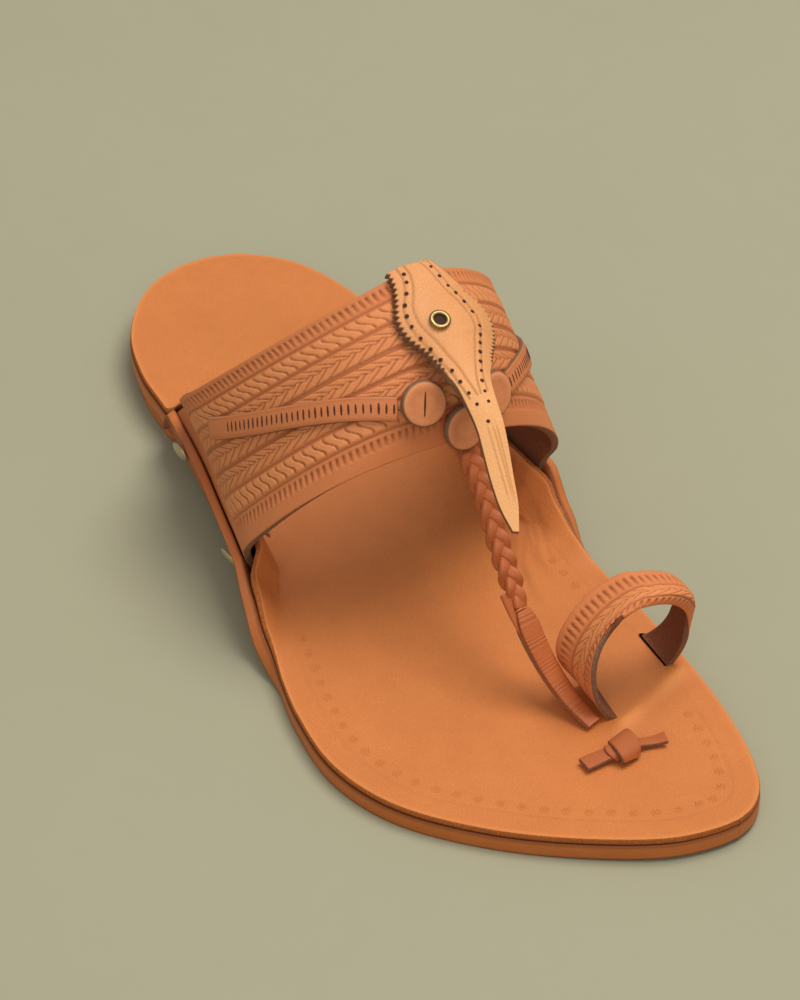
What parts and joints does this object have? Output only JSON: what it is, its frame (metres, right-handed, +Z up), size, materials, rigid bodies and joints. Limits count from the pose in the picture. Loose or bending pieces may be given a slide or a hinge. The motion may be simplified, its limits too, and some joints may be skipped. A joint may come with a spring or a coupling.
{
  "type": "kolhapuri sandal",
  "caption": "Flat leather slip-on sandal with a wide tooled instep strap, a bird-head flap with a long beak, a plaited toe thong and a big-toe ring.",
  "frame": {"origin": "middle of the whole sandal's box, on the floor", "axes": "+X towards the toe, +Y towards the big toe's side, +Z up"},
  "size_m": [0.2652, 0.1136, 0.097],
  "materials": {
    "sole_leather": "burnished edge, stacked vegetable-tanned leather",
    "insole_leather": "smooth vegetable-tanned, satin",
    "tooled_leather": "stamped and tooled, satin",
    "pale_leather": "lighter natural leather, satin",
    "disc_leather": "grained, satin",
    "braid_leather": "oiled, satin",
    "brass": "tarnished"
  },
  "bodies": {
    "root": {"heel_lift": "sole_leather", "outsole": "sole_leather", "insole": "insole_leather", "strap": "tooled_leather", "toe_ring": "tooled_leather", "disc_lateral": "disc_leather", "disc_middle": "disc_leather", "disc_medial": "disc_leather", "trim_lateral": "tooled_leather", "trim_medial": "tooled_leather", "flap": "pale_leather", "eyelet": "brass", "braid": "braid_leather", "toe_thong": "braid_leather", "lace_knot": "braid_leather", "rivet_rear_lateral_outer": "brass", "rivet_rear_medial_outer": "brass", "rivet_front_lateral_outer": "brass", "rivet_front_lateral_inner": "brass", "rivet_front_medial_outer": "brass", "rivet_front_medial_inner": "brass"}
  },
  "joints": []
}
